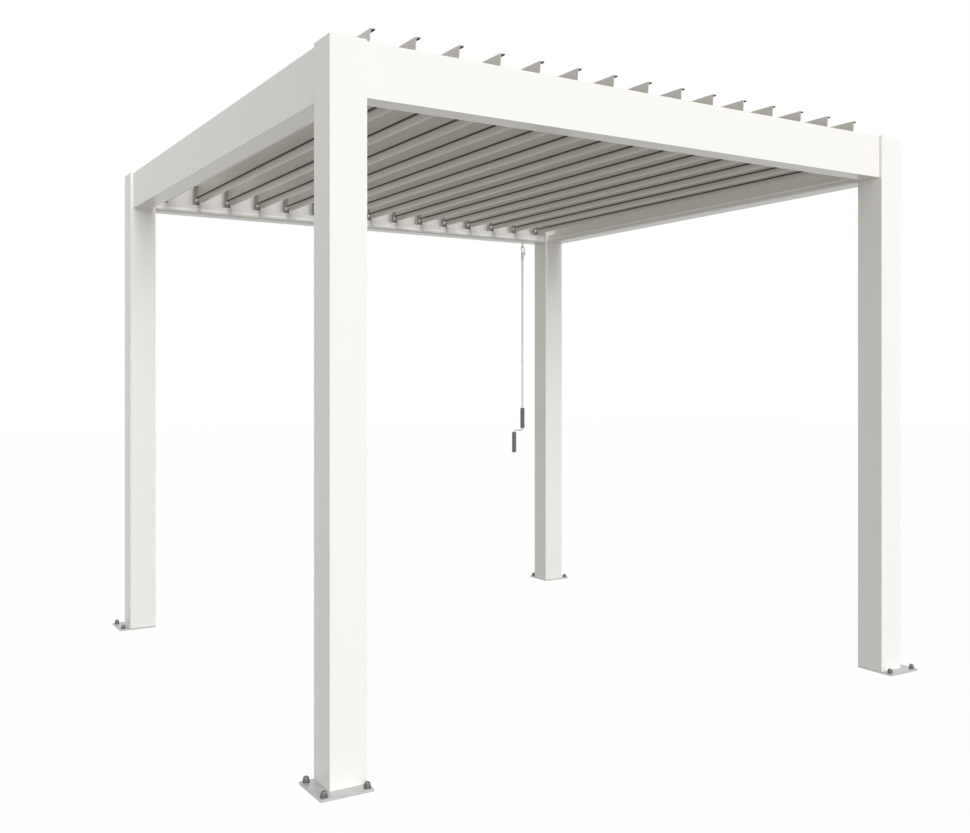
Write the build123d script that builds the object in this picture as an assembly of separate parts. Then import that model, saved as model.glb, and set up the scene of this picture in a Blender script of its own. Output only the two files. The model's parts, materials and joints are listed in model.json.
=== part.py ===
"""Louvred aluminium pergola with a hand crank.

Four posts on base plates carry four gutter beams.  Fifteen sheet louvres, each with a
rain channel, tilt together on pivot brackets, tied by one link bar, and a crank hangs from
the gear eye under the back beam.

Millimetres.  The origin is on the ground at the centre of the plan, +Z is up,
X runs along the front beam and Y runs from the front beam to the back beam.
The louvres are drawn fully open, standing on edge.
"""

import os
from math import hypot

from build123d import *

# Plan and height
width = 3000.0              # outer faces of the posts, along X
depth = 3000.0              # outer faces of the posts, along Y
height = 2600.0             # ground to the top of the post caps

# Posts and feet
post_size = 140.0
post_wall = 3.0
cap_thickness = 2.0
plate_thickness = 10.0
plate_flange = 56.0         # shows past the post's two outer faces only
anchor_hole = 14.0          # diameter
anchor_edge = 20.0          # hole centre to the plate's outer edge
anchor_end = 16.0           # hole centre to the plate's inner edge

# Beams: a box on the outside, an open rain trough on the inside
beam_height = 198.0
beam_depth = 110.0
beam_inset = 15.0           # beam face behind the post face, both sides
beam_wall = 3.0
box_depth = 45.0
lip_height = 52.0
lip_ledge = 21.0            # flat on top of the lip, for the brackets
bead_radius = 16.0          # half-round nose along the lip's lower edge
bead_stand = 7.0            # nose in front of the lip's upper band

# Louvres
louvre_count = 15
edge_overlap = 16.25        # louvre run past the side lips, each side
blade_lap = 6.5             # one blade over the next when shut
pivot_offset = 8.0          # pivot nearer the upper edge by this much
pivot_height = -1.0         # above the post caps
blade_thickness = 2.0
blade_overhang = 3.0        # blade end past the inner face of the lip
blade_high = 8.0            # underside at the upper edge, above the pivot
blade_low = 3.5             # underside at the channel, below the pivot
channel_radius = 27.0       # round rain channel along the lower edge
channel_lip = 27.0          # channel's edge above the pivot
blade_lip = 16.0            # turned-up strip along the upper edge
post_clear = 7.0            # last blade's corner cut to the post

# Pivots, brackets and link bar
pin_radius = 6.0
pin_play = 0.05
plate_reach = 44.0          # end plate of a blade, along the blade
plate_breadth = 26.0
end_plate = 4.0
bracket_gap = 10.0          # blade end to bracket
bracket_thickness = 4.0
bracket_left = 20.0
bracket_right = 16.0
bracket_foot = 14.0
lever_length = 40.0
lever_width = 16.0
lever_thickness = 4.0
side_gap = 5.0              # between the stacked link parts
link_pin_radius = 4.0

# Crank
crank_from_post = 130.0     # crank axis to the back right post
eye_shaft_radius = 6.0
eye_drop = 7.5              # beam to the top of the eye
eye_wire = 7.0
eye_width = 24.0
eye_height = 28.0
hook_wire = 7.0
hook_play = 0.8             # hook over the eye's wire
hook_reach = 13.0           # half the width of the hook's arch
hook_bend = 10.0
hook_leg = 63.0             # top of the arch to the tip
hook_flare = 10.0           # tip leans out by this much
socket_radius = 10.5
socket_length = 53.0
hook_drop = 34.0            # eye's lower wire to the socket
rod_radius = 7.0
rod_length = 1106.0         # socket's top to the upper grip
grip_radius = 14.0
grip_length = 142.0
grip_play = 0.05
crank_throw = 70.0
crank_bend = 13.0
bend_drop = 27.0            # upper grip to lower grip
end_stop = 3.0

# Places worked out from the sizes above
half_x, half_y = width / 2, depth / 2
post_x, post_y = half_x - post_size / 2, half_y - post_size / 2
post_top = height - cap_thickness
beam_base = post_top - beam_height
lip_face = beam_inset + beam_depth                 # from the outer post face
lip_x, lip_y = half_x - lip_face, half_y - lip_face
pitch = 2 * (lip_x + edge_overlap) / louvre_count
upper_reach = (pitch + blade_lap) / 2 - pivot_offset
lower_reach = (pitch + blade_lap) / 2 + pivot_offset
channel_at = lower_reach + channel_radius
pivot_z = height + pivot_height
blade_end = lip_y + blade_overhang
bracket_y = blade_end + bracket_gap
lever_y = bracket_y + bracket_thickness + side_gap
link_y = lever_y + lever_thickness + side_gap
eye_top = beam_base - eye_drop
hook_z = eye_top - eye_height + eye_wire / 2       # eye's lower wire, which carries the hook
arch_z = hook_z + (eye_wire + hook_wire) / 2 + hook_play
rod_top = hook_z - hook_drop
grip_top = rod_top - rod_length
crank_x = half_x - post_size - crank_from_post
crank_y = half_y - beam_inset - box_depth / 2
corners = {
    "front_left": (-1, -1),
    "front_right": (1, -1),
    "back_left": (-1, 1),
    "back_right": (1, 1),
}


def louvre_x(number):
    """Pivot position along X of a louvre, counted from 1 at the left."""
    return (number - (louvre_count + 1) / 2) * pitch


def box(x, y, z):
    """Block from three (low, high) pairs."""
    size = [high - low for low, high in (x, y, z)]
    middle = [(high + low) / 2 for low, high in (x, y, z)]
    return Pos(*middle) * Box(*size)


def outline(points):
    """Flat face with straight sides."""
    return make_face(Polyline(*points, close=True))


def sheet(points, thickness):
    """Outline of a bent sheet; the sheet lies to the left of the line."""
    normals = []
    for (x0, y0), (x1, y1) in zip(points, points[1:]):
        run = hypot(x1 - x0, y1 - y0)
        normals.append(((y0 - y1) / run, (x1 - x0) / run))
    other = []
    for i, (x, y) in enumerate(points):
        before = normals[max(i - 1, 0)]
        after = normals[min(i, len(normals) - 1)]
        mitre = thickness / (1 + before[0] * after[0] + before[1] * after[1])
        other.append((x + mitre * (before[0] + after[0]), y + mitre * (before[1] + after[1])))
    return outline(points + other[::-1])


def nearest(sketch, x, y):
    """Corner of a sketch that lies closest to a point."""
    return sketch.vertices().sort_by_distance((x, y, 0))[0]


def across_y(sketch, y, thickness):
    """Stand a sketch up (its x along X, its y along Z) and extrude it to +Y."""
    plane = Plane(origin=(0, y + thickness, 0), x_dir=(1, 0, 0), z_dir=(0, -1, 0))
    return extrude(plane * sketch, thickness)


def rod(path, section):
    """Bar of one section along a path."""
    return sweep(Plane(path @ 0, z_dir=path % 0) * section, path)


def octagon(radius):
    """Eight flat sides around a circle, one of them underneath."""
    return RegularPolygon(radius, 8, major_radius=False, rotation=22.5)


def flat_bar(length, breadth):
    """Outline of a flat bar between two pin centres, corners cut."""
    return chamfer(Rectangle(length + breadth, breadth).vertices(), breadth / 4)


def bar(radius, x, y, z):
    """Upright cylinder at x, y between two heights."""
    low, high = z
    return Pos(x, y, low) * Cylinder(radius, high - low, align=(Align.CENTER, Align.CENTER, Align.MIN))


def post(side_x, side_y):
    """Square tube standing on its plate."""
    tube = Rectangle(post_size, post_size) - Rectangle(post_size - 2 * post_wall, post_size - 2 * post_wall)
    place = Pos(side_x * post_x, side_y * post_y, plate_thickness)
    return extrude(place * tube, post_top - plate_thickness)


def post_cap(side_x, side_y):
    """Thin square plate that shuts the top of a post."""
    place = Pos(side_x * post_x, side_y * post_y, post_top + cap_thickness / 2)
    return place * Box(post_size, post_size, cap_thickness)


def base_plate(side_x, side_y):
    """Square plate, flush with the post inside, with three anchor holes."""
    inner, outer = -post_size / 2, post_size / 2 + plate_flange
    near, far = inner + anchor_end, outer - anchor_edge
    plate = box((inner, outer), (inner, outer), (0, plate_thickness))
    for x, y in ((far, far), (near, far), (far, near)):
        plate -= bar(anchor_hole / 2, x, y, (0, plate_thickness))
    turn = {(1, 1): 0, (-1, 1): 90, (-1, -1): 180, (1, -1): 270}[(side_x, side_y)]
    return Pos(side_x * post_x, side_y * post_y, 0) * Rot(0, 0, turn) * plate


def beam(length):
    """Gutter beam along X, outer face on y = 0 and trough towards +Y."""
    band = beam_depth - bead_stand
    nose = Pos(beam_depth - bead_radius, bead_radius)
    section = nose * Circle(bead_radius) + outline([
        (0, 0), (beam_depth - bead_radius, 0), (beam_depth - bead_radius, bead_radius), (band, bead_radius),
        (band, lip_height), (box_depth, lip_height), (box_depth, beam_height), (0, beam_height),
    ])
    section -= nose * Circle(bead_radius - beam_wall) + outline([
        (box_depth, beam_wall), (beam_depth - bead_radius, beam_wall),
        (beam_depth - bead_radius, bead_radius), (band - beam_wall, bead_radius),
        (band - beam_wall, lip_height - beam_wall),
        (band - lip_ledge, lip_height - beam_wall), (band - lip_ledge, lip_height), (box_depth, lip_height),
    ])
    hollow = Rectangle(box_depth - 2 * beam_wall, beam_height - 2 * beam_wall)
    section -= Pos(box_depth / 2, beam_height / 2) * hollow
    plane = Plane(origin=(-length / 2, 0, 0), x_dir=(0, 1, 0), z_dir=(1, 0, 0))
    return extrude(plane * section, length)


def placed_beam(length, turn, distance):
    """Beam turned about the plan's centre and pushed out to its side."""
    return Rot(0, 0, turn) * Pos(0, -distance, beam_base) * beam(length)


def stood_open(solid):
    """Turn a piece drawn in the shut pose to the open pose, about its pivot."""
    return Rot(0, 90, 0) * solid


def blade(last):
    """Sheet with an upstand along its upper edge and a rain channel along its lower edge."""
    section = sheet([
        (-upper_reach, blade_high + blade_lip), (-upper_reach, blade_high),
        (channel_at, -blade_low), (channel_at, channel_lip),
    ], blade_thickness)
    inner_radius = channel_radius - blade_thickness
    section = fillet(nearest(section, channel_at, -blade_low), channel_radius)
    inner_corner = nearest(section, channel_at - blade_thickness, blade_thickness - blade_low)
    section = fillet(inner_corner, inner_radius)
    solid = across_y(section, -blade_end, 2 * blade_end)
    if last:
        # The last blade shuts beside the posts, so its corners are cut away.
        cut_x = half_x - post_size - post_clear - louvre_x(louvre_count)
        cut_from = half_y - post_size - post_clear
        for side in (-1, 1):
            y = sorted((side * cut_from, side * (blade_end + post_clear)))
            solid -= box((cut_x, 2 * lower_reach), y, (-2 * blade_low, 2 * channel_lip))
    return stood_open(solid)


def pin(radius, x, z, y0, y1):
    """Pin along Y between two places."""
    return across_y(Pos(x, z) * Circle(radius), y0, y1 - y0)


def pivots():
    """Front end plate with its pin, and back end plate with its pin, lever and link pin."""
    plate = flat_bar(plate_reach, plate_breadth)
    front = across_y(plate, -blade_end - end_plate, end_plate)
    front += pin(pin_radius, 0, 0, -bracket_y - bracket_thickness - side_gap, -blade_end - end_plate)
    back = across_y(plate, blade_end, end_plate) + pin(pin_radius, 0, 0, blade_end + end_plate, lever_y)
    arm = Pos(-lever_length / 2, 0) * flat_bar(lever_length, lever_width)
    back += across_y(arm, lever_y, lever_thickness)
    back += pin(link_pin_radius, -lever_length, 0, lever_y, link_y + lever_thickness + side_gap)
    return stood_open(Compound(children=[front, back]))


def bracket(number, side):
    """Upright on the lip's ledge with the bore for one louvre's pin."""
    x, foot_z = louvre_x(number), beam_base + lip_height
    left, right = x - bracket_left, x + bracket_right
    upright = outline([
        (left, foot_z), (right, foot_z), (right, pivot_z),
        (x - bracket_right, pivot_z), (left, pivot_z - bracket_left),
    ])
    upright += Pos(x, pivot_z) * octagon(bracket_right)
    upright -= Pos(x, pivot_z) * Circle(pin_radius + pin_play)
    solid = across_y(upright, bracket_y, bracket_thickness)
    solid += box((left, right), (bracket_y, bracket_y + bracket_foot), (foot_z, foot_z + bracket_thickness))
    return solid if side > 0 else mirror(solid, Plane.XZ)


def link_bar():
    """Flat bar that ties the levers together."""
    first, final = louvre_x(1), louvre_x(louvre_count)
    flat = Pos((first + final) / 2, 0) * flat_bar(final - first, lever_width)
    for number in range(1, louvre_count + 1):
        flat -= Pos(louvre_x(number), 0) * Circle(link_pin_radius + pin_play)
    return Pos(0, 0, pivot_z + lever_length) * across_y(flat, link_y, lever_thickness)


def gear_eye():
    """Gear shaft through the beam's underside, ending in a closed eye."""
    collar = beam_base + beam_wall + pin_play
    shaft = bar(eye_shaft_radius, crank_x, crank_y, (eye_top - eye_wire, collar + beam_wall))
    shaft += bar(2 * eye_shaft_radius, crank_x, crank_y, (collar, collar + beam_wall))
    turn = (eye_width - eye_wire) / 2
    low, high = hook_z + turn, eye_top - eye_wire / 2 - turn
    side = Plane(origin=(crank_x, crank_y, 0), x_dir=(0, 1, 0), z_dir=(1, 0, 0))
    right = Line((turn, low), (turn, high))
    upper = ThreePointArc((turn, high), (0, high + turn), (-turn, high))
    left = Line((-turn, high), (-turn, low))
    lower = ThreePointArc((-turn, low), (0, low - turn), (turn, low))
    ring = rod(side * Wire([right, upper, left, lower]), octagon(eye_wire / 2))
    return shaft + ring


def crank():
    """Hook, socket, long rod, and the double bend with its two grip lengths."""
    front = Plane(origin=(crank_x, crank_y, 0), x_dir=(1, 0, 0), z_dir=(0, -1, 0))
    hook = FilletPolyline(
        (hook_reach + hook_flare, arch_z - hook_leg), (hook_reach, arch_z),
        (-hook_reach, arch_z), (0, rod_top - hook_wire), radius=hook_bend,
    )
    grip_low = grip_top - grip_length
    bend_z = grip_low - bend_drop / 2
    end_z = grip_low - bend_drop - grip_length - end_stop
    path = FilletPolyline(
        (0, rod_top - socket_length / 2), (0, bend_z),
        (-crank_throw, bend_z), (-crank_throw, end_z), radius=crank_bend,
    )
    solid = rod(front * hook, octagon(hook_wire / 2)) + rod(front * path, Circle(rod_radius))
    solid += bar(socket_radius, crank_x, crank_y, (rod_top - socket_length, rod_top))
    solid += bar(socket_radius, crank_x, crank_y, (grip_top + grip_play, grip_top + grip_play + end_stop))
    solid += bar(socket_radius, crank_x - crank_throw, crank_y, (end_z, end_z + end_stop - grip_play))
    return solid


def grip(x, top):
    """Plastic sleeve that turns on the crank."""
    sleeve = Circle(grip_radius) - Circle(rod_radius + grip_play)
    return extrude(Pos(x, crank_y, top - grip_length) * sleeve, grip_length)


def save(name, *solids):
    """Write one named piece."""
    piece = solids[0] if len(solids) == 1 else Compound(children=list(solids))
    export_step(piece, os.path.join("parts", name + ".step"))


os.makedirs("parts", exist_ok=True)

for corner, sides in corners.items():
    save("post_" + corner, post(*sides))
    save("base_plate_" + corner, base_plate(*sides))
save("post_caps", *[post_cap(*sides) for sides in corners.values()])

span_x, span_y = width - 2 * post_size, depth - 2 * post_size
reach_x, reach_y = half_x - beam_inset, half_y - beam_inset
save("beam_front", placed_beam(span_x, 0, reach_y))
save("beam_right", placed_beam(span_y, 90, reach_x))
back = placed_beam(span_x, 180, reach_y)
back -= bar(eye_shaft_radius + pin_play, crank_x, crank_y, (beam_base, beam_base + beam_wall))
save("beam_back", back)
save("beam_left", placed_beam(span_y, 270, reach_x))

numbers = range(1, louvre_count + 1)
save("brackets_front", *[bracket(number, -1) for number in numbers])
save("brackets_back", *[bracket(number, 1) for number in numbers])
for number in numbers:
    place = Pos(louvre_x(number), 0, pivot_z)
    save(f"louvre_{number:02d}", place * blade(number == louvre_count))
    save(f"louvre_{number:02d}_pivots", place * pivots())
save("link_bar", link_bar())

save("gear_eye", gear_eye())
save("crank", crank())
save("crank_grip_upper", grip(crank_x, grip_top))
save("crank_grip_lower", grip(crank_x - crank_throw, grip_top - grip_length - bend_drop))
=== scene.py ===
"""Looks of the louvred pergola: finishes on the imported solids, and the small
pieces that a maker adds at the end, such as cap nuts, seals, screws and grips.
Metres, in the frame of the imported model: origin on the ground at the plan's
centre, +Z up, +Y from the front beam to the back beam."""

import json
import math

import bpy
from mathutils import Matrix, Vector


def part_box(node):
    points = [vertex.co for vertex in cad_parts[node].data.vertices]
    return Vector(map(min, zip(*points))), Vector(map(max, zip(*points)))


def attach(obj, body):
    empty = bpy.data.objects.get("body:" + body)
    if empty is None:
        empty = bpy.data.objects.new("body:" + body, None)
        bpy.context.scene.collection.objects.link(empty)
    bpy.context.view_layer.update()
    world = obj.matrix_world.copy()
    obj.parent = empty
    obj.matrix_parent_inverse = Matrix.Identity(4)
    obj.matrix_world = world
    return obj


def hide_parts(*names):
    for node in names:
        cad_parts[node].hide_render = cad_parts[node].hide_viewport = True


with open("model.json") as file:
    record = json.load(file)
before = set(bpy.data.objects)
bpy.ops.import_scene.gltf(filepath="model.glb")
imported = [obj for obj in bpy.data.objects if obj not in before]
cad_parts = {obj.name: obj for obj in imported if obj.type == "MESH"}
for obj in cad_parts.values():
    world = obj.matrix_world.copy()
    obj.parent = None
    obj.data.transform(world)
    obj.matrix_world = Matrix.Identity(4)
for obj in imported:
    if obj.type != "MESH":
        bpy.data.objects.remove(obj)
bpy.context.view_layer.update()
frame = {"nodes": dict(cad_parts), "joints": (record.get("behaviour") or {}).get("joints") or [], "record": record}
nodes = frame["nodes"]
record = frame["record"]
scene = bpy.context.scene

# Posts, post caps and beams: extruded aluminium with a white powder coat,
# baked on, satin, with the faint orange-peel skin that such a coat has.
# Caps are pressed into the posts and the beams butt against the post faces.

white_pale = (0.872, 0.862, 0.832)
white_shade = (0.864, 0.854, 0.824)
coat_roughness = 0.25
coat_unevenness = 0.03
coat_shine = 0.26
cloud_per_metre = 1.7
cloud_detail = 3.0
peel_per_metre = 420.0
peel_detail = 2.0
peel_strength = 0.09
sheet_peel_depth = 0.00012
corners = ("front_left", "front_right", "back_left", "back_right")
sides = ("front", "right", "back", "left")


class Tone:
    """A shader value that takes part in sums."""

    def __init__(self, tree, socket):
        self.tree = tree
        self.socket = socket

    def sum(self, operation, left, right):
        node = self.tree.nodes.new("ShaderNodeMath")
        node.operation = operation
        for slot, value in zip(node.inputs, (left, right)):
            if isinstance(value, Tone):
                self.tree.links.new(value.socket, slot)
            else:
                slot.default_value = value
        return Tone(self.tree, node.outputs[0])

    def __add__(self, other):
        return self.sum("ADD", self, other)

    __radd__ = __add__

    def __sub__(self, other):
        return self.sum("SUBTRACT", self, other)

    def __rsub__(self, other):
        return self.sum("SUBTRACT", other, self)

    def __mul__(self, other):
        return self.sum("MULTIPLY", self, other)

    __rmul__ = __mul__


class Finish:
    """A material, with its nodes added one call at a time."""

    sockets = {
        "colour": "Base Color",
        "roughness": "Roughness",
        "metal": "Metallic",
        "normal": "Normal",
        "shine": "Specular IOR Level",
    }

    def __init__(self, name):
        self.material = bpy.data.materials.new(name)
        self.material.use_nodes = True
        self.tree = self.material.node_tree
        self.shader = self.tree.nodes["Principled BSDF"]
        self.place = self.node("ShaderNodeTexCoord", {}, {}, "Object")

    def node(self, kind, settings, values, output=0):
        node = self.tree.nodes.new(kind)
        for key, value in settings.items():
            setattr(node, key, value)
        for key, value in values.items():
            self.feed(node.inputs[key], value)
        return Tone(self.tree, node.outputs[output])

    def feed(self, slot, value):
        if isinstance(value, Tone):
            self.tree.links.new(value.socket, slot)
        else:
            slot.default_value = value

    def noise(self, per_metre, detail, place=None):
        values = {"Vector": place or self.place, "Scale": per_metre, "Detail": detail}
        return self.node("ShaderNodeTexNoise", {}, values)

    def stretched(self, scale):
        return self.node("ShaderNodeMapping", {}, {"Vector": self.place, "Scale": scale})

    def blend(self, amount, first, second):
        return self.node("ShaderNodeMixRGB", {}, {0: amount, 1: (*first, 1), 2: (*second, 1)})

    def skin(self, height, depth, strength):
        values = {"Height": height, "Distance": depth, "Strength": strength}
        return self.node("ShaderNodeBump", {}, values)

    def set(self, **values):
        for key, value in values.items():
            self.feed(self.shader.inputs[self.sockets[key]], value)
        return self.material


def coat(name, pale, shade, peel_depth):
    """Powder coat: even colour, soft cloudiness, fine orange peel."""
    finish = Finish(name)
    cloud = finish.noise(cloud_per_metre, cloud_detail)
    peel = finish.noise(peel_per_metre, peel_detail)
    return finish.set(
        colour=finish.blend(cloud, pale, shade),
        roughness=coat_roughness + coat_unevenness * cloud,
        normal=finish.skin(peel, peel_depth, peel_strength),
        shine=coat_shine,
    )


def paint(piece, material):
    """Give one piece a finish, in place of any that it has."""
    piece.data.materials.clear()
    piece.data.materials.append(material)


def dress(names, material):
    """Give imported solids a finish."""
    for name in names:
        paint(nodes[name], material)


white_coat = coat("white_powder_coat", white_pale, white_shade, sheet_peel_depth)
dress(["post_" + corner for corner in corners] + ["post_caps"], white_coat)
dress(["beam_" + side for side in sides], white_coat)

# Foot plates: flat aluminium plate, sawn square and drilled, bare and satin.
# The long scratches of the rolling run along X, and the face is a bit uneven.

plate_pale = (0.60, 0.60, 0.60)
plate_shade = (0.50, 0.50, 0.505)
plate_roughness = 0.34
plate_scratchiness = 0.16
plate_metal = 0.55
plate_stretch = (6.0, 240.0, 60.0)
plate_grain_scale = 3.0
plate_grain_detail = 5.0
plate_grain_depth = 0.00015
plate_grain_strength = 0.4
plate_patch_per_metre = 22.0
plate_patch_detail = 4.0

plate_finish = Finish("satin_foot_plate")
grain = plate_finish.noise(plate_grain_scale, plate_grain_detail, plate_finish.stretched(plate_stretch))
patch = plate_finish.noise(plate_patch_per_metre, plate_patch_detail)
plate_finish.set(
    colour=plate_finish.blend(patch, plate_pale, plate_shade),
    roughness=plate_roughness + plate_scratchiness * grain,
    metal=plate_metal,
    normal=plate_finish.skin(grain, plate_grain_depth, plate_grain_strength),
)
dress(["base_plate_" + corner for corner in corners], plate_finish.material)

# Cap nuts: steel nuts with a closed dome, each on a washer.  Their dark colour
# is painted reflection: it stands in for dark surroundings mirrored in bright steel.
# They hold the ground anchors that come up through the foot plates' holes.

nut_flats = 0.0222
nut_height = 0.0078
nut_sides = 6
nut_corner = 0.0009
nut_corner_steps = 2
dome_radius = 0.0109
dome_height = 0.0120
dome_straight_share = 0.35
dome_round_share = 0.65
dome_steps = 6
washer_radius = 0.0138
washer_height = 0.0022
washer_edge_share = 0.8
washer_top_share = 0.97
round_sides = 32
smooth_angle = math.radians(38)
mm_per_metre = 1000
# Nut colours: dark grey, painted reflection of dark surroundings in the steel.
nut_dark_painted_reflection = (0.135, 0.135, 0.130)
nut_pale_painted_reflection = (0.205, 0.203, 0.195)
nut_roughness = 0.20
nut_unevenness = 0.14
nut_metal = 0.45
nut_shine = 0.30
film_per_metre = 160.0
film_detail = 3.0


def clear_selection():
    """Leave object mode with nothing selected."""
    if bpy.context.object and bpy.context.object.mode != "OBJECT":
        bpy.ops.object.mode_set(mode="OBJECT")
    bpy.ops.object.select_all(action="DESELECT")


def turned(name, place, stations, around=round_sides):
    """Round piece: a ring pulled up through (height, radius) stations."""
    clear_selection()
    first_height, first_radius = stations[0]
    x, y, z = place
    bpy.ops.mesh.primitive_circle_add(
        vertices=around, radius=first_radius, fill_type="NGON", location=(x, y, z + first_height)
    )
    piece = bpy.context.object
    piece.name = name
    bpy.ops.object.transform_apply(location=True, rotation=True, scale=True)
    bpy.ops.object.mode_set(mode="EDIT")
    bpy.ops.mesh.select_all(action="SELECT")
    for (low, small), (high, large) in zip(stations, stations[1:]):
        bpy.ops.mesh.extrude_region_move(TRANSFORM_OT_translate={"value": (0, 0, high - low)})
        grow = large / small
        bpy.ops.transform.resize(value=(grow, grow, 1), center_override=(x, y, z + high))
    bpy.ops.mesh.select_all(action="SELECT")
    bpy.ops.mesh.normals_make_consistent(inside=False)
    bpy.ops.object.mode_set(mode="OBJECT")
    bpy.ops.object.shade_smooth_by_angle(angle=smooth_angle)
    return piece


def joined(name, pieces):
    """Several meshes as one piece."""
    clear_selection()
    for piece in pieces:
        piece.select_set(True)
    bpy.context.view_layer.objects.active = pieces[0]
    bpy.ops.object.join()
    pieces[0].name = name
    return pieces[0]


def copied(piece, name, shift):
    """A copy with its own mesh, moved by its points."""
    twin = piece.copy()
    twin.data = piece.data.copy()
    twin.name = name
    scene.collection.objects.link(twin)
    for vertex in twin.data.vertices:
        vertex.co.x += shift[0]
        vertex.co.y += shift[1]
        vertex.co.z += shift[2]
    return twin


def cap_nut(place):
    """Washer, hexagon with eased corners, and dome."""
    x, y, z = place
    washer_stations = [
        (0, washer_radius),
        (washer_height * washer_edge_share, washer_radius),
        (washer_height, washer_radius * washer_top_share),
    ]
    washer = turned("washer", place, washer_stations)
    clear_selection()
    bpy.ops.mesh.primitive_cylinder_add(
        vertices=nut_sides,
        radius=nut_flats / math.sqrt(3),
        depth=nut_height,
        location=(x, y, z + washer_height + nut_height / 2),
    )
    hexagon = bpy.context.object
    bpy.ops.object.transform_apply(location=True, rotation=True, scale=True)
    bpy.ops.object.mode_set(mode="EDIT")
    bpy.ops.mesh.select_all(action="SELECT")
    bpy.ops.mesh.bevel(offset=nut_corner, segments=nut_corner_steps)
    bpy.ops.object.mode_set(mode="OBJECT")
    base = washer_height + nut_height
    dome_stations = [(base, dome_radius), (base + dome_height * dome_straight_share, dome_radius)]
    for step in range(1, dome_steps):
        angle = step / dome_steps * math.pi / 2
        rise = dome_straight_share + dome_round_share * math.sin(angle)
        dome_stations.append((base + dome_height * rise, dome_radius * math.cos(angle)))
    dome = turned("dome", place, dome_stations)
    return joined("cap_nut", [washer, hexagon, dome])


nut_steel = Finish("steel_with_painted_reflection")
film = nut_steel.noise(film_per_metre, film_detail)
nut_steel.set(
    colour=nut_steel.blend(film, nut_dark_painted_reflection, nut_pale_painted_reflection),
    roughness=nut_roughness + nut_unevenness * film,
    metal=nut_metal,
    shine=nut_shine,
)

plate_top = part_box("base_plate_front_left")[1][2]
anchor_places = []
for mount in record["mounts"]:
    if mount["kind"] == "bolt_pattern":
        reach_x = mount["dims"]["spacing_x_mm"] / 2 / mm_per_metre
        reach_y = mount["dims"]["spacing_y_mm"] / 2 / mm_per_metre
        anchor_places += [(sx * reach_x, sy * reach_y) for sx in (-1, 1) for sy in (-1, 1)]
first_nut = cap_nut((*anchor_places[0], plate_top))
paint(first_nut, nut_steel.material)
nuts = [first_nut]
for x, y in anchor_places[1:]:
    shift = (x - anchor_places[0][0], y - anchor_places[0][1], 0)
    nuts.append(copied(first_nut, "cap_nut_" + str(len(nuts) + 1), shift))
for nut in nuts:
    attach(nut, "frame")

# Louvres: aluminium sheet with a rain channel rolled along the lower edge and
# coated white like the frame.  Each one turns on two pins at its ends.  Their
# colour is set darker than the frame's white as painted shade, standing in for
# the shade under the roof.

# Louvre colours: the frame's white, darkened as painted shade for the roof's underside.
louvre_pale_painted_shade = (0.692, 0.667, 0.617)
louvre_dark_painted_shade = (0.680, 0.655, 0.605)

louvre_coat_painted_shade = coat("louvre_coat_with_painted_shade", louvre_pale_painted_shade, louvre_dark_painted_shade, sheet_peel_depth)
louvres = sorted(name for name in nodes if name.startswith("louvre_") and not name.endswith("_pivots"))
dress(louvres, louvre_coat_painted_shade)

# Louvre strips: black, in one length along every louvre.  A narrow rubber seal
# sits on the edge of the upper flange, and the roof shuts quietly on it.  A flat
# black strip in the crease above the rain channel is painted shade: a dark
# piece put along the shade line there.

seal_round = 0.0016
seal_round_steps = 3
channel_rise = 0.027
# Crease strip: a dark piece that stands in for the shade line along the crease.
crease_shade_strip = (0.0078, 0.0066)
channel_sink_share = 0.25
channel_inset = 0.003
last_channel_inset = 0.027
edge_seal = (0.0048, 0.0070)
edge_side_share = 0.30
edge_drop_share = 0.36
edge_shortfall = 0.004
long_edge = 0.5
black_seal_and_shade = (0.028, 0.0273, 0.0255)
dusty_seal_and_shade = (0.050, 0.0488, 0.0455)
rubber_roughness = 0.62
rubber_dustiness = 0.2
dust_per_metre = 60.0
dust_detail = 4.0
dust_depth = 0.0003
dust_strength = 0.3


def black_strip(name, size, place, length):
    """Black strip along Y with its four long edges rounded, for the rubber edge seal and for the painted-shade
    strip in the crease.
    """
    clear_selection()
    bpy.ops.mesh.primitive_cube_add(size=1, location=(place[0], 0, place[1]))
    strip = bpy.context.object
    strip.name = name
    strip.scale = (size[0], length, size[1])
    bpy.ops.object.transform_apply(location=True, rotation=True, scale=True)
    bpy.ops.object.mode_set(mode="EDIT")
    bpy.ops.mesh.select_mode(type="EDGE")
    bpy.ops.mesh.select_all(action="DESELECT")
    bpy.ops.object.mode_set(mode="OBJECT")
    for edge in strip.data.edges:
        start, end = (strip.data.vertices[i].co for i in edge.vertices)
        edge.select = abs(start.y - end.y) > long_edge
    bpy.ops.object.mode_set(mode="EDIT")
    bpy.ops.mesh.bevel(offset=seal_round, segments=seal_round_steps)
    bpy.ops.object.mode_set(mode="OBJECT")
    bpy.ops.object.shade_smooth_by_angle(angle=smooth_angle)
    return strip


def louvre_strips(louvre, inset):
    """Both strips of one louvre."""
    low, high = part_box(louvre)
    length = high[1] - low[1]
    in_crease = (
        low[0] - crease_shade_strip[0] * channel_sink_share,
        low[2] + channel_rise - crease_shade_strip[1] * channel_sink_share,
    )
    on_edge = (high[0] - edge_seal[0] * edge_side_share, high[2] - edge_seal[1] * edge_drop_share)
    below = black_strip("crease_shade_strip", crease_shade_strip, in_crease, length - 2 * inset)
    above = black_strip("edge_seal", edge_seal, on_edge, length - edge_shortfall)
    return joined("strips_" + louvre[-2:], [below, above])


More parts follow.
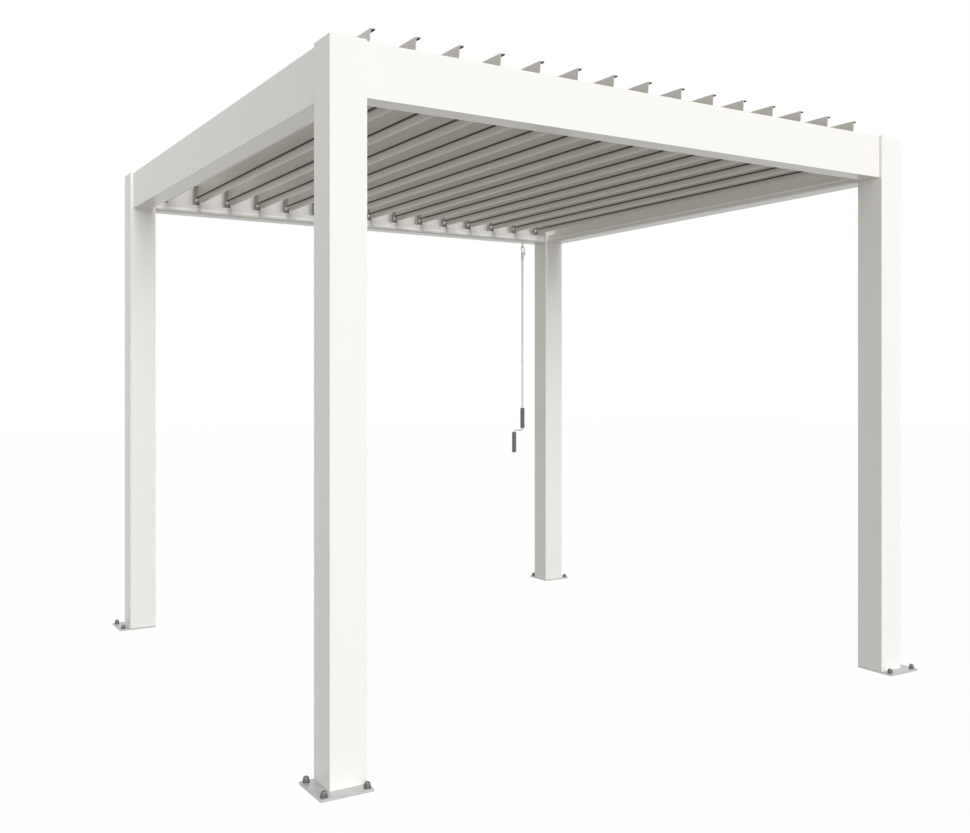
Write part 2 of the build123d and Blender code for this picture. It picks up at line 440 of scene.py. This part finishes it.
rubber = Finish("black_rubber_seal_and_shade_strip")
dust = rubber.noise(dust_per_metre, dust_detail)
rubber.set(
    colour=rubber.blend(dust, black_seal_and_shade, dusty_seal_and_shade),
    roughness=rubber_roughness + rubber_dustiness * dust,
    normal=rubber.skin(dust, dust_depth, dust_strength),
)
for louvre in louvres:
    strip_pair = louvre_strips(louvre, last_channel_inset if louvre == louvres[-1] else channel_inset)
    paint(strip_pair, rubber.material)
    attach(strip_pair, louvre)

# Pivot brackets: moulded plastic uprights that stand on the trough's
# lip, one for each louvre end, each fixed with one bright pan-head screw of
# polished steel.  Their mid grey is partly painted shade: it stands in for
# the shadow along their sides and beneath them.

# Bracket greys: partly painted shade for the shadow on and under the brackets.
bracket_dark_painted_shade = (0.225, 0.219, 0.206)
bracket_pale_painted_shade = (0.275, 0.266, 0.251)
moulded_roughness = 0.50
moulded_unevenness = 0.12
moulded_tone_per_metre = 9.0
pebble_per_metre = 700.0
pebble_depth = 0.0002
pebble_strength = 0.35
moulded_detail = 2.0
screw_head = 0.0070
screw_rise = 0.0038
screw_rise_shares = (0, 0.45, 0.85, 1)
screw_radius_shares = (1, 1, 0.78, 0.42)
screw_sides = 20
screw_offset = -0.003
screw_above_foot = 0.028
polished_pale = (0.72, 0.72, 0.73)
polished_shade = (0.62, 0.62, 0.63)
polished_roughness = 0.12
polished_smear = 0.14
smear_per_metre = 90.0
smear_detail = 3.0

moulded = Finish("grey_plastic_with_painted_shade")
pebble = moulded.noise(pebble_per_metre, moulded_detail)
tone = moulded.noise(moulded_tone_per_metre, moulded_detail)
moulded.set(
    colour=moulded.blend(tone, bracket_dark_painted_shade, bracket_pale_painted_shade),
    roughness=moulded_roughness + moulded_unevenness * pebble,
    normal=moulded.skin(pebble, pebble_depth, pebble_strength),
)
dress(["brackets_front", "brackets_back"], moulded.material)

polished = Finish("polished_steel")
smear = polished.noise(smear_per_metre, smear_detail)
polished.set(
    colour=polished.blend(smear, polished_pale, polished_shade),
    roughness=polished_roughness + polished_smear * smear,
    metal=1.0,
)


def pan_head(x, face, z, side):
    """Domed screw head on an upright face that looks along Y."""
    shares = zip(screw_rise_shares, screw_radius_shares)
    stations = [(screw_rise * rise, screw_head * radius) for rise, radius in shares]
    head = turned("head", (0, 0, 0), stations, screw_sides)
    head.rotation_euler = (math.radians(-90) * side, 0, 0)
    head.location = (x, face, z)
    clear_selection()
    head.select_set(True)
    bpy.context.view_layer.objects.active = head
    bpy.ops.object.transform_apply(location=True, rotation=True, scale=True)
    return head


tilts = [joint for joint in frame["joints"] if joint["child"].startswith("louvre_")]
screw_places = [joint["pos_m"][0] + screw_offset for joint in tilts]
for row, side in (("front", 1), ("back", -1)):
    low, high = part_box("brackets_" + row)
    face = high[1] if side > 0 else low[1]
    heads = [pan_head(x, face, low[2] + screw_above_foot, side) for x in screw_places]
    screws = joined("bracket_screws_" + row, heads)
    paint(screws, polished.material)
    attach(screws, "frame")

# Pivots and link bar: bare satin aluminium, lugs and levers on the louvre
# ends and one flat bar that ties the levers together at the back.

bare_pale = (0.64, 0.645, 0.65)
bare_shade = (0.52, 0.525, 0.53)
bare_roughness = 0.30
bare_streakiness = 0.18
bare_metal = 0.85
bare_stretch = (4.0, 80.0, 80.0)
drawn_scale = 4.0
drawn_detail = 4.0

bare = Finish("bare_satin_aluminium")
drawn = bare.noise(drawn_scale, drawn_detail, bare.stretched(bare_stretch))
bare.set(
    colour=bare.blend(drawn, bare_pale, bare_shade),
    roughness=bare_roughness + bare_streakiness * drawn,
    metal=bare_metal,
)
dress([name for name in nodes if name.endswith("_pivots")] + ["link_bar"], bare.material)

# Gear eye: a loop of bent steel wire, bright zinc plated, on the shaft that
# comes down from the gear in the back beam.  Turning it tilts the louvres.

plated_pale = (0.86, 0.86, 0.855)
plated_shade = (0.76, 0.76, 0.755)
plated_roughness = 0.28
plated_bloom = 0.2
plated_metal = 0.6
bloom_per_metre = 130.0
bloom_detail = 4.0

plated = Finish("zinc_plated_steel")
bloom = plated.noise(bloom_per_metre, bloom_detail)
plated.set(
    colour=plated.blend(bloom, plated_pale, plated_shade),
    roughness=plated_roughness + plated_bloom * bloom,
    metal=plated_metal,
)
dress(["gear_eye"], plated.material)

# Crank: aluminium rod with a hook at the top and a double bend at the bottom,
# coated off-white.  It hangs from the eye by its hook.

crank_pale = (0.835, 0.832, 0.815)
crank_shade = (0.805, 0.802, 0.785)
crank_peel_depth = 0.00008

crank_coat = coat("crank_powder_coat", crank_pale, crank_shade, crank_peel_depth)
dress(["crank"], crank_coat)

# Crank grips: hard dark plastic sleeves that turn on the crank, with a
# collar at each end and shallow grooves for the hand.

grip_swell = 1.10
grip_bore_share = 0.48
grip_body_share = 0.95
grip_collar = 0.006
grip_ease = 0.0012
grip_end = 0.0001
grip_sides = 40
groove_depth = 0.0011
groove_count = 9
rib_rise = 0.0006
rib_start_share = 0.30
rib_end_share = 0.70
groove_share = 0.85
grip_dark = (0.115, 0.115, 0.116)
grip_worn = (0.170, 0.170, 0.171)
grip_roughness = 0.42
grip_wear = 0.16
hand_per_metre = 40.0
hand_detail = 3.0
grip_pebble_per_metre = 900.0
grip_pebble_detail = 2.0
grip_pebble_depth = 0.00015
grip_pebble_strength = 0.3


def grip_sleeve(name, node):
    """Sleeve with collars and grooves, closed against the rod."""
    low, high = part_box(node)
    radius = (high[0] - low[0]) / 2 * grip_swell
    length = high[2] - low[2]
    centre = ((low[0] + high[0]) / 2, (low[1] + high[1]) / 2, low[2])
    bore = radius * grip_bore_share
    body = radius * grip_body_share
    stations = [
        (0, bore),
        (grip_end, radius - grip_ease),
        (grip_ease, radius),
        (grip_collar - grip_ease, radius),
        (grip_collar, body),
    ]
    pitch = (length - 2 * grip_collar) / groove_count
    for step in range(groove_count):
        start = grip_collar + step * pitch
        stations += [
            (start + pitch * rib_start_share, body + rib_rise),
            (start + pitch * rib_end_share, body + rib_rise),
            (start + pitch * groove_share, body - groove_depth),
        ]
    stations += [
        (length - grip_collar, body),
        (length - grip_collar + grip_ease, radius),
        (length - grip_ease, radius),
        (length - grip_end, radius - grip_ease),
        (length, bore),
    ]
    return turned(name, centre, stations, grip_sides)


grip_plastic = Finish("dark_grip_plastic")
hand = grip_plastic.noise(hand_per_metre, hand_detail)
grip_pebble = grip_plastic.noise(grip_pebble_per_metre, grip_pebble_detail)
grip_plastic.set(
    colour=grip_plastic.blend(hand, grip_dark, grip_worn),
    roughness=grip_roughness + grip_wear * hand,
    normal=grip_plastic.skin(grip_pebble, grip_pebble_depth, grip_pebble_strength),
)
for level in ("upper", "lower"):
    sleeve = grip_sleeve("grip_sleeve_" + level, "crank_grip_" + level)
    paint(sleeve, grip_plastic.material)
    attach(sleeve, "grip_" + level)
    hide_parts("crank_grip_" + level)

# Floor, light and camera: a plain studio floor and sky that are white to the
# camera, a soft low key from the front, a soft light from above and in front,
# and a level camera where the photograph was taken from.

floor_size = 60.0
floor_colour = (0.38, 0.371, 0.350, 1)
floor_roughness = 0.9
floor_white = 0.985
white = (1, 1, 1, 1)
sky_strength = 0.86
sky_overhead = 0.12
key_place = (0, -6, 6)
key_turn = (math.radians(77), 0, math.radians(-15))
key_strength = 1.06
key_spread = 38.0
roof_place = (0, -3, 8)
roof_turn = (math.radians(35), 0, 0)
roof_strength = 1.7
roof_spread = 34.0
frame_width, frame_height = 970, 833
focal_pixels = 1068.49
principal = (497.95, 383.53)
camera_place = (-2.9425, -4.8965, 1.4016)
camera_forward = (0.5293, 0.8484)
sensor_width = 36.0
farthest_sight = 200

clear_selection()
bpy.ops.mesh.primitive_plane_add(size=floor_size, location=(0, 0, 0))
floor = bpy.context.object
floor.name = "studio_floor"
paper = Finish("white_studio_floor")
paper.set(colour=floor_colour, roughness=floor_roughness)


def sees_backdrop(tree):
    """One for what the camera sees straight, in a gloss or through glass."""
    path = tree.nodes.new("ShaderNodeLightPath")
    kinds = ("Is Camera Ray", "Is Glossy Ray", "Is Transmission Ray")
    camera_ray, glossy_ray, clear_ray = (Tone(tree, path.outputs[kind]) for kind in kinds)
    return camera_ray.sum("MAXIMUM", camera_ray, camera_ray.sum("MAXIMUM", glossy_ray, clear_ray))


glow = paper.node("ShaderNodeEmission", {}, {"Color": white, "Strength": 1.0})
lit = Tone(paper.tree, paper.shader.outputs[0])
amount = sees_backdrop(paper.tree) * floor_white
seen = paper.node("ShaderNodeMixShader", {}, {0: amount, 1: lit, 2: glow})
paper.tree.links.new(seen.socket, paper.tree.nodes["Material Output"].inputs[0])
paint(floor, paper.material)

sky = bpy.data.worlds.new("studio_sky")
sky.use_nodes = True
scene.world = sky
toward = sky.node_tree.nodes.new("ShaderNodeTexCoord")
split = sky.node_tree.nodes.new("ShaderNodeSeparateXYZ")
sky.node_tree.links.new(toward.outputs["Generated"], split.inputs[0])
backdrop = sky.node_tree.nodes["Background"]
height = Tone(sky.node_tree, split.outputs["Z"])
soft = sky_strength - (sky_strength - sky_overhead) * height.sum("MAXIMUM", height, 0.0)
strength = soft + (1 - soft) * sees_backdrop(sky.node_tree)
sky.node_tree.links.new(strength.socket, backdrop.inputs["Strength"])
backdrop.inputs["Color"].default_value = white


def soft_sun(name, place, turn, energy, spread):
    """A distant lamp, wide enough for soft shadows."""
    bpy.ops.object.light_add(type="SUN", location=place, rotation=turn)
    lamp = bpy.context.object
    lamp.name = name
    lamp.data.energy = energy
    lamp.data.angle = math.radians(spread)


soft_sun("key_light", key_place, key_turn, key_strength, key_spread)
soft_sun("roof_light", roof_place, roof_turn, roof_strength, roof_spread)

camera_heading = math.atan2(*camera_forward)
bpy.ops.object.camera_add(location=camera_place, rotation=(math.pi / 2, 0, -camera_heading))
camera = bpy.context.object
camera.data.sensor_width = sensor_width
camera.data.lens = sensor_width * focal_pixels / frame_width
camera.data.shift_x = (frame_width / 2 - principal[0]) / frame_width
camera.data.shift_y = (principal[1] - frame_height / 2) / frame_width
camera.data.clip_end = farthest_sight
scene.camera = camera
scene.view_settings.view_transform = "Standard"
